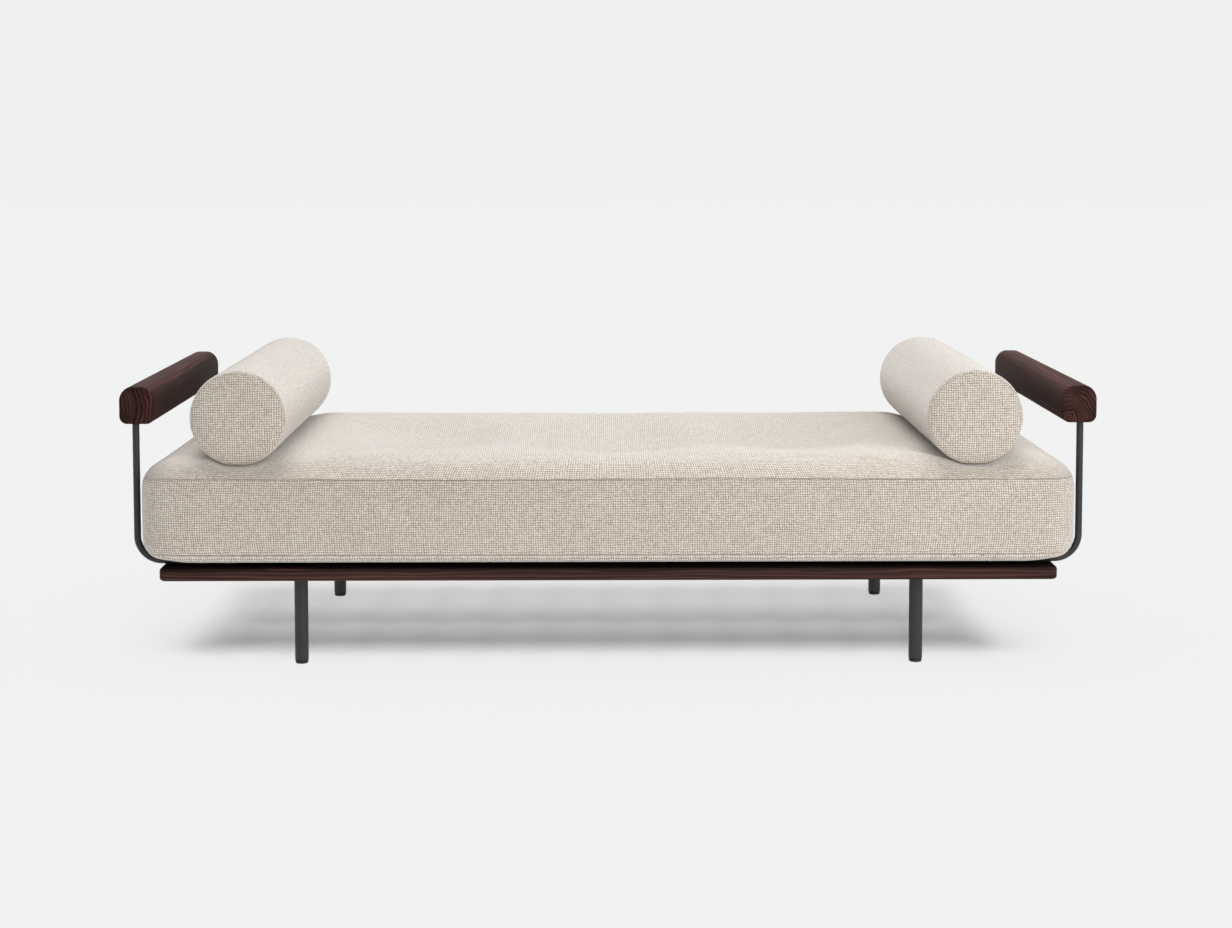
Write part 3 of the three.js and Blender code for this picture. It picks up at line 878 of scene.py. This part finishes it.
def make_bolster(side, material):
    low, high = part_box(f"{side}_bolster_cover")
    centre, height, radius, underside = bolster_shape(side)
    rows = bolster_profile(radius, (high.y - low.y) / 2)
    angles = 2 * math.pi * np.arange(BOLSTER_SIDES) / BOLSTER_SIDES - math.pi / 2
    points, on_end, on_band, starts = [], [], [], []
    travelled, seams = 0.0, []
    for k, (r, y, groove, _) in enumerate(rows):
        if k:
            travelled += math.hypot(r - rows[k - 1][0], y - rows[k - 1][1])
        ring_angles = angles if r else angles[:1]
        starts.append(sum(len(p) for p in points))
        if groove:
            seams.append((starts[-1], BOLSTER_SIDES))
        reach = r - groove * SEAM_DEPTH * 0.6 * (1 + 0.3 * np.sin(46 * ring_angles))
        ring = np.c_[reach * np.cos(ring_angles), reach * np.sin(ring_angles)]
        points.append(np.c_[centre + ring[:, 0], np.full(len(ring), y), height + ring[:, 1]])
        on_end.append(ring)
        on_band.append(np.c_[(ring_angles + math.pi / 2) * radius, np.full(len(ring), travelled)])
    points = np.vstack(points)
    below = points[:, 2] < underside
    points[below, 2] = underside + (points[below, 2] - underside) * 0.1
    maps = {"end": np.vstack(on_end), "band": np.vstack(on_band)}

    faces, kinds = [], []
    for k in range(len(rows) - 1):
        first, second = starts[k], starts[k + 1]
        for i in range(BOLSTER_SIDES):
            n = (i + 1) % BOLSTER_SIDES
            if rows[k][0] == 0:
                faces.append((first, second + i, second + n))
            elif rows[k + 1][0] == 0:
                faces.append((first + n, first + i, second))
            else:
                faces.append((first + i, second + i, second + n, first + n))
        kinds += [rows[k][3]] * BOLSTER_SIDES
    bolster = new_object(f"{side}_bolster", points, faces, material)
    add_weave_map(bolster, faces, kinds, maps, 2 * math.pi * radius)
    paint_seam_shade(bolster, seams, 0.35)
    pinned = {i for start, count in seams for i in range(start, start + count)}
    pinned |= set(np.flatnonzero(points[:, 2] < underside + 10 * MM))
    swell(bolster, sorted(pinned), 1.0, 1.5 * MM)
    finish_padding(bolster, 0.9, f"{side}_bolster_cover", f"{side}_bolster_core")
    return bolster


# ---- Armrests ----

ARM_TOP_CORNER = 25 * MM
ARM_BOTTOM_CORNER = 16 * MM
ARM_CROWN = 3.5 * MM
ARM_END_ROUNDING = 2.5 * MM


def make_armrest(side, material):
    low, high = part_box(f"{side}_armrest")
    centre = (low + high) / 2
    width, height = high.x - low.x, high.z - low.z
    outline = []
    corners = [(ARM_TOP_CORNER, 1, 1, 0), (ARM_TOP_CORNER, -1, 1, 90),
               (ARM_BOTTOM_CORNER, -1, -1, 180), (ARM_BOTTOM_CORNER, 1, -1, 270)]
    for radius, right, upper, start in corners:
        middle = (right * (width / 2 - radius), upper * (height / 2 - radius))
        outline += arc(middle, radius, start, start + 90, 12)
    outline = np.array(outline)
    outline[:, 1] += np.where(outline[:, 1] > 0, -ARM_CROWN * (outline[:, 0] / (width / 2)) ** 2, 0)
    ahead = np.roll(outline, -1, axis=0) - np.roll(outline, 1, axis=0)
    normals = np.c_[ahead[:, 1], -ahead[:, 0]] / np.linalg.norm(ahead, axis=1, keepdims=True)
    stations = []
    for t in np.linspace(0, math.pi / 2, 6):
        inset = ARM_END_ROUNDING * (1 - math.cos(t))
        stations.append((low.y + ARM_END_ROUNDING * (1 - math.sin(t)), inset))
    stations = stations[::-1] + [(y, 0.0) for y in np.linspace(low.y + 40 * MM, high.y - 40 * MM, 9)]
    stations += [(low.y + high.y - y, inset) for y, inset in stations[:6][::-1]]
    points = []
    for y, inset in stations:
        ring = outline - normals * inset
        points += [(centre.x + x, y, centre.z + z) for x, z in ring]
    faces = swept_faces(len(stations), len(outline))
    armrest = new_object(f"{side}_arm", points, faces, material)
    turn_outward(armrest)
    for depth in DEPTHS:
        bore_low, bore_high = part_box(f"sleeve_{depth}_{side}")
        middle = (bore_low + bore_high) / 2
        radius = (bore_high.x - bore_low.x) / 2 + 0.3 * MM
        under = low.z - 5 * MM
        profile = [(0, under), (radius, under), (radius, bore_high.z), (0, bore_high.z)]
        bore = turned("bore", profile, material, 32)
        bore.location = (middle.x, middle.y, 0)
        cutter = armrest.modifiers.new("bore", "BOOLEAN")
        cutter.object = bore
        cutter.operation = "DIFFERENCE"
        apply_modifiers(armrest)
        bpy.data.objects.remove(bore)
    keep_edges_crisp(armrest)
    settle(armrest, "frame", "wenge", f"{side}_armrest")


def turn_outward(obj):
    """Makes a closed mesh's faces point out."""
    mesh = obj.data
    volume = 0.0
    for polygon in mesh.polygons:
        volume += polygon.center.dot(polygon.normal) * polygon.area
    if volume < 0:
        mesh.flip_normals()


def finish_solid(obj, slot, node, angle=32):
    """The last steps of a closed hard piece that belongs to the frame."""
    turn_outward(obj)
    keep_edges_crisp(obj, angle)
    settle(obj, "frame", slot, node)


# ---- Base rails ----

RAIL_ROUNDING = 7 * MM
RAIL_CORNER = 14 * MM
MITRE_GAP = 0.3 * MM


def make_rail(name, along, sign, material):
    """One mitred rail: its section is swept along the base's outline between two corners."""
    low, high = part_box(name)
    front_low, front_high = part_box("front_rail")
    end_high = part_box("right_end_rail")[1]
    outer = (end_high.x, -front_low.y)
    width = front_high.y - front_low.y
    thickness = high.z - low.z
    middle = (high.z + low.z) / 2
    # section: (distance in from the outer face, height), from the inner bottom edge round the outside
    rise = thickness / 2 - RAIL_ROUNDING
    section = [(width, -thickness / 2)]
    section += arc((RAIL_ROUNDING, -rise), RAIL_ROUNDING, 270, 180, 7)
    section += arc((RAIL_ROUNDING, rise), RAIL_ROUNDING, 180, 90, 7)
    section.append((width, thickness / 2))
    # each point of the section runs straight, then round the base's corner to the mitre
    span, across = outer[along], outer[1 - along]
    straight = np.linspace(-1, 1, 17)
    turn = np.linspace(0, 1, 6)[1:]
    stations = [(-1, t) for t in turn[::-1]] + [(t, 0) for t in straight] + [(1, t) for t in turn]
    points = []
    for station, bend in stations:
        for inset, height in section:
            if inset < RAIL_CORNER:
                start, radius = span - RAIL_CORNER, RAIL_CORNER - inset
                angle = bend * (math.pi / 4 - 0.01)
                position = start * abs(station) + radius * math.sin(angle)
                place = across - RAIL_CORNER + radius * math.cos(angle)
            else:
                start = span - inset - RAIL_CORNER
                position = start * abs(station) + bend * (RAIL_CORNER - MITRE_GAP)
                place = across - inset
            position = math.copysign(position, station)
            place *= sign
            spot = (place, position) if along else (position, place)
            points.append((*spot, middle + height))
    faces = swept_faces(len(stations), len(section))
    rail = new_object(f"{name}_board", points, faces, material)
    finish_solid(rail, "wenge", name)


# ---- Bent rods ----

ROD_SIDES = 28
BEND_RADIUS = 50 * MM


def make_rod(depth, material):
    name = f"{depth}_arm_rod"
    low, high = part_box(name)
    y = (low.y + high.y) / 2
    radius = (high.y - low.y) / 2
    x = high.x - radius
    z = low.z + radius
    corner_x, corner_z = x - BEND_RADIUS, z + BEND_RADIUS
    path = [(-x, high.z)]
    path += arc((-corner_x, corner_z), BEND_RADIUS, 180, 270, 20)
    path += [(t * corner_x, z) for t in (-0.6, -0.2, 0.2, 0.6)]
    path += arc((corner_x, corner_z), BEND_RADIUS, 270, 360, 20)
    path.append((x, high.z))
    points = []
    for k, (px, pz) in enumerate(path):
        before = Vector(path[max(k - 1, 0)])
        after = Vector(path[min(k + 1, len(path) - 1)])
        tangent = (after - before).normalized()
        side = Vector((-tangent.y, tangent.x))
        for i in range(ROD_SIDES):
            angle = 2 * math.pi * i / ROD_SIDES
            out = side * (radius * math.cos(angle))
            points.append((px + out.x, y + radius * math.sin(angle), pz + out.y))
    faces = swept_faces(len(path), ROD_SIDES)
    rod = new_object(f"{depth}_rod", points, faces, material)
    finish_solid(rod, "black_steel", name, 50)


# ---- Legs, feet and fasteners ----

def place_copies(name, source, places):
    """Joins copies of an object at several places into one mesh."""
    base = np.array([v.co for v in source.data.vertices])
    polygons = [tuple(p.vertices) for p in source.data.polygons]
    points = np.vstack([base + np.array(place) for place in places])
    starts = [k * len(base) for k in range(len(places))]
    faces = [tuple(start + i for i in polygon) for start in starts for polygon in polygons]
    joined = new_object(name, points, faces, source.data.materials[0])
    keep_edges_crisp(joined)
    bpy.data.objects.remove(source)
    return joined


SOCKET_LOBES = 6


def screw_head(name, radius, depth, rounding, material, facing=-1):
    """A screw's head with a lobed socket. facing is -1 if it is driven from below and 1 from above."""
    socket = radius * 0.46
    profile = [(0, depth * 0.45), (socket, depth * 0.45), (socket, 0.12 * depth), (socket * 1.12, 0)]
    profile += [(radius - rounding + rounding * math.sin(t), rounding * (1 - math.cos(t)))
                for t in np.linspace(0, math.pi / 2, 6)]
    profile += [(radius, depth), (0, depth)]
    profile = [(r, h * -facing) for r, h in profile]

    def lobe(index, angle):
        return 1 + 0.16 * math.cos(SOCKET_LOBES * angle) if index in (1, 2) else 1

    head = turned(name, profile, material, 36, lobe)
    turn_outward(head)
    return head


def make_legs(steel, plastic, zinc):
    for corner in CORNERS:
        low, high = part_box(f"leg_tube_{corner}")
        x, y = (low.x + high.x) / 2, (low.y + high.y) / 2
        radius = (high.x - low.x) / 2
        wall = 2 * MM
        edge = 0.5 * MM
        weld = 3.2 * MM
        inside = radius - wall
        profile = [(inside, low.z), (radius - edge, low.z), (radius, low.z + edge)]
        profile += [(radius, high.z - weld), (radius + 0.8 * MM, high.z - weld * 0.75)]
        profile += [(radius + 2.0 * MM, high.z - weld * 0.35), (radius + 3.0 * MM, high.z)]
        profile += [(inside, high.z), (inside, low.z)]
        tube = turned(f"leg_{corner}", profile, steel, 56)
        tube.location = (x, y, 0)
        finish_solid(tube, "black_steel", f"leg_tube_{corner}")

        low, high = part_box(f"leg_insert_{corner}")
        radius = (high.x - low.x) / 2
        lip = 1.8 * MM
        bore = 4.3 * MM
        body = radius - 2.1 * MM
        profile = [(bore, low.z), (radius - 0.6 * MM, low.z), (radius, low.z + 0.6 * MM)]
        profile += [(radius, low.z + lip), (body, low.z + lip), (body, high.z)]
        profile += [(bore, high.z), (bore, low.z)]
        insert = turned(f"leg_plug_{corner}", profile, plastic, 56)
        insert.location = (x, y, 0)
        finish_solid(insert, "black_plastic", f"leg_insert_{corner}")

        low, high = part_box(f"foot_pad_{corner}")
        radius = (high.x - low.x) / 2
        rounding = 1.8 * MM
        flat = radius - rounding
        profile = [(0, low.z)]
        profile += arc((flat, low.z + rounding), rounding, -90, 0, 6)
        profile += arc((flat, high.z - rounding), rounding, 0, 90, 6)
        profile.append((0, high.z))
        pad = turned(f"glide_{corner}", profile, plastic, 56)
        pad.location = (x, y, 0)
        turn_outward(pad)
        settle(pad, f"foot_{corner}", "black_plastic", f"foot_pad_{corner}")

        low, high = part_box(f"foot_stud_{corner}")
        stud = make_stud(f"stud_{corner}", low.z, high.z, (high.x - low.x) / 2, zinc)
        stud.location = (x, y, 0)
        settle(stud, f"foot_{corner}", "zinc_steel", f"foot_stud_{corner}")

        low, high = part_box(f"leg_plate_{corner}")
        make_plate(corner, low, high, steel)

    heads = []
    for corner in CORNERS:
        low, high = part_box(f"leg_plate_{corner}")
        for x in (low.x + 11 * MM, high.x - 11 * MM):
            for y in (low.y + 11 * MM, high.y - 11 * MM):
                heads.append((x, y, low.z - 1.6 * MM))
    head = screw_head("plate_screw", 4.6 * MM, 1.6 * MM, 1.3 * MM, zinc)
    screws = place_copies("leg_plate_screws", head, heads)
    settle(screws, "frame", "zinc_steel")


def make_stud(name, bottom, top, radius, material):
    """A threaded stud: rings that follow the thread's crests and roots."""
    pitch = 1.25 * MM
    root = radius - 0.6 * MM
    profile = [(0, bottom), (root, bottom)]
    height = bottom + pitch / 2
    while height + pitch < top - 1 * MM:
        profile += [(root, height), (radius, height + pitch * 0.45), (radius, height + pitch * 0.55)]
        height += pitch
    profile += [(root, height), (root, top - 0.6 * MM), (radius - 1.3 * MM, top), (0, top)]
    stud = turned(name, profile, material, 28)
    turn_outward(stud)
    keep_edges_crisp(stud, 25)
    return stud


def make_plate(corner, low, high, material):
    """A mounting plate with rounded corners and slightly rounded edges."""
    edge = 0.5 * MM
    width, depth = high.x - low.x, high.y - low.y
    outline = np.array(rounded_outline(width, depth, 8 * MM, 6))
    inner = np.array(rounded_outline(width - 2 * edge, depth - 2 * edge, 8 * MM - edge, 6))
    middle = np.array(((low.x + high.x) / 2, (low.y + high.y) / 2))
    rings = [(inner, low.z), (outline, low.z + edge), (outline, high.z - edge), (inner, high.z)]
    points = [(*(p + middle), z) for ring, z in rings for p in ring]
    faces = swept_faces(len(rings), len(outline), flip=True)
    plate = new_object(f"mounting_plate_{corner}", points, faces, material)
    finish_solid(plate, "black_steel", f"leg_plate_{corner}")


def make_rod_bolts(zinc):
    for depth in DEPTHS:
        for number in range(1, 5):
            node = f"{depth}_rod_bolt_{number}"
            low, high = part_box(node)
            radius = (high.x - low.x) / 2
            shank = 3 * MM
            head_height = 3.7 * MM
            socket = 2.0 * MM
            profile = [(0, low.z + 2 * MM), (socket, low.z + 2 * MM)]
            profile += [(socket, low.z + 0.2 * MM), (socket * 1.15, low.z)]
            profile += [(radius - 2 * MM + 2 * MM * math.sin(t), low.z + 2 * MM * (1 - math.cos(t)))
                        for t in np.linspace(0.15, math.pi / 2, 7)]
            profile += [(radius, low.z + head_height), (shank, low.z + head_height),
                        (shank, high.z - 1 * MM), (shank - 1 * MM, high.z), (0, high.z)]

            def lobe(index, angle):
                if index not in (1, 2):
                    return 1
                return 1 / math.cos((angle % (math.pi / 3)) - math.pi / 6)

            bolt = turned(f"{depth}_rod_screw_{number}", profile, zinc, 36, lobe)
            bolt.location = ((low.x + high.x) / 2, (low.y + high.y) / 2, 0)
            finish_solid(bolt, "zinc_steel", node)


def make_slat_screws(zinc):
    places = []
    for number in range(1, 14):
        low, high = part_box(f"slat_{number:02d}")
        for y in (low.y + 14 * MM, high.y - 14 * MM):
            places.append(((low.x + high.x) / 2, y, high.z + 0.15 * MM))
    head = screw_head("slat_screw", 3.8 * MM, 0.9 * MM, 0.3 * MM, zinc, facing=1)
    screws = place_copies("slat_screws", head, places)
    settle(screws, "frame", "zinc_steel")


# ---- Zips ----

MATTRESS_ZIP = (850 * MM, 278 * MM)  # half its length, and its height
BOLSTER_ZIP = 280 * MM  # half its length


def make_zip(name, body, cover, ends, outward, cloth, zinc):
    """A coil zip along a straight line on a cover: a tape, two rows of coils and a slider."""
    start, end = Vector(ends[0]), Vector(ends[1])
    out = Vector(outward).normalized()
    line = (end - start).normalized()
    across = out.cross(line)
    graph = bpy.context.evaluated_depsgraph_get()
    tree = BVHTree.FromObject(cover, graph)
    length = (end - start).length

    def surface(distance):
        origin = start + line * distance + out * 0.08
        hit = tree.ray_cast(origin, -out)[0]
        return hit if hit is not None else start + line * distance

    points = []
    steps = int(length / (12 * MM))
    half = 5.5 * MM
    section = [(-half, -0.6 * MM), (-half, 0.25 * MM), (-1.6 * MM, 0.35 * MM), (0, 0.15 * MM),
               (1.6 * MM, 0.35 * MM), (half, 0.25 * MM), (half, -0.6 * MM)]
    for k in range(steps + 1):
        base = surface(length * k / steps)
        points += [base + across * a + out * h for a, h in section]
    faces = swept_faces(steps + 1, len(section))
    pitch = 2.4 * MM
    for k in range(int(length / pitch) - 2):
        base = surface((k + 1) * pitch)
        for side in (-1, 1):
            shift = line * (pitch * 0.25 * side)
            first = len(points)
            block = [(0.0, 0.2), (1.5, 0.2), (1.5, 0.8), (0.9, 1.15), (0.0, 0.9)]
            for edge in (-0.18, 0.18):
                corner = base + shift + line * (edge * pitch)
                points += [corner + across * (side * a * MM) + out * (h * MM) for a, h in block]
            faces += swept_faces(2, len(block), first, flip=True)
    tape = new_object(name, points, faces, cloth)
    keep_edges_crisp(tape, 40)
    settle(tape, body, "woven_cover")

    # the slider at one end: a body that narrows, a bridge and a hanging tab
    base = surface(22 * MM)
    axes = Matrix((line, across, out)).transposed().to_4x4()
    axes.translation = base
    outlines = [
        ([(-5, -3.2), (0, -3.8), (5, -2.4), (5, 2.4), (0, 3.8), (-5, 3.2)], 0.6, 3.0),
        ([(-3.4, -1.0), (3.4, -1.0), (3.4, 1.0), (-3.4, 1.0)], 3.0, 4.4),
        ([(-1, -2.2), (-13, -2.6), (-19, -2.2), (-20, 0), (-19, 2.2), (-13, 2.6), (-1, 2.2)], 4.6, 5.6),
    ]
    points, faces = [], []
    for outline, bottom, top in outlines:
        first = len(points)
        for height in (bottom, top):
            points += [axes @ Vector((a * MM, b * MM, height * MM)) for a, b in outline]
        faces += swept_faces(2, len(outline), first, flip=True)
    slider = new_object(f"{name}_slider", points, faces, zinc)
    bevel = slider.modifiers.new("edges", "BEVEL")
    bevel.width = 0.35 * MM
    bevel.segments = 2
    apply_modifiers(slider)
    keep_edges_crisp(slider)
    settle(slider, body, "zinc_steel")


# ---- The daybed ----

make_camera()
corners = [(x * FLOOR_REACH, y * FLOOR_REACH, 0) for x, y in ((-1, -1), (1, -1), (1, 1), (-1, 1))]
floor = new_object("floor", corners, [(0, 1, 2, 3)], floor_material())

WENGE = ((0.050, 0.020, 0.017), (0.013, 0.007, 0.006), (0.160, 0.050, 0.042))
RAIL_WENGE = ((0.072, 0.034, 0.028), (0.016, 0.009, 0.008), (0.150, 0.052, 0.045))
BEECH = ((0.50, 0.33, 0.19), (0.36, 0.22, 0.12), (0.44, 0.27, 0.15))

weave = weave_material("woven_cloth")
steel = coated_steel_material()
zinc = zinc_material()
plastic = plastic_material()
tape = tape_material()
# the rails' tops are painted dark, as painted shade under the mattress; the arms' tops are painted
# light, as a painted highlight of their sheen
rail_wood = wood_material("wenge_rails", 0, (0.10, -0.42), RAIL_WENGE, 6 * MM, 0.3, 1.0, 0.25)
end_rail_wood = wood_material("wenge_end_rails", 1, (0.30, -0.42), RAIL_WENGE, 6 * MM, 0.1, 1.0, 0.25)
arm_woods = {
    "left": wood_material("wenge_left_arm", 1, (-1.10, 0.53), WENGE, 8 * MM, 1.0, 0.35, 1.8),
    "right": wood_material("wenge_right_arm", 1, (0.932, 0.508), WENGE, 6.5 * MM, 1.0, 0.35, 1.8),
}
slat_wood = wood_material("beech_slats", 1, (0.0, -0.2), BEECH, 5 * MM, 0.3)

mattress = make_mattress(weave)
bolsters = {side: make_bolster(side, weave) for side in SIDES}
for side in SIDES:
    make_armrest(side, arm_woods[side])
make_rail("front_rail", 0, -1, rail_wood)
make_rail("rear_rail", 0, 1, rail_wood)
make_rail("left_end_rail", 1, -1, end_rail_wood)
make_rail("right_end_rail", 1, 1, end_rail_wood)
for depth in DEPTHS:
    make_rod(depth, steel)
make_legs(steel, plastic, zinc)
make_rod_bolts(zinc)
make_slat_screws(zinc)

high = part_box("mattress_cover")[1]
reach, height = MATTRESS_ZIP
ends = [(reach, high.y, height), (-reach, high.y, height)]
make_zip("mattress_zip", "mattress", mattress, ends, (0, 1, 0), tape, zinc)
for side, sign in SIDES.items():
    centre, height, radius, _ = bolster_shape(side)
    x = centre + sign * radius
    ends = [(x, BOLSTER_ZIP, height), (x, -BOLSTER_ZIP, height)]
    body = f"{side}_bolster"
    make_zip(f"{body}_zip", body, bolsters[side], ends, (sign, 0, 0), tape, zinc)

kept_nodes = {"slat_": slat_wood, "sleeve_": zinc, "centre_rail": rail_wood}
for name, node in frame["nodes"].items():
    for start, material in kept_nodes.items():
        if name.startswith(start):
            node.data.materials.clear()
            node.data.materials.append(material)

make_light(floor)
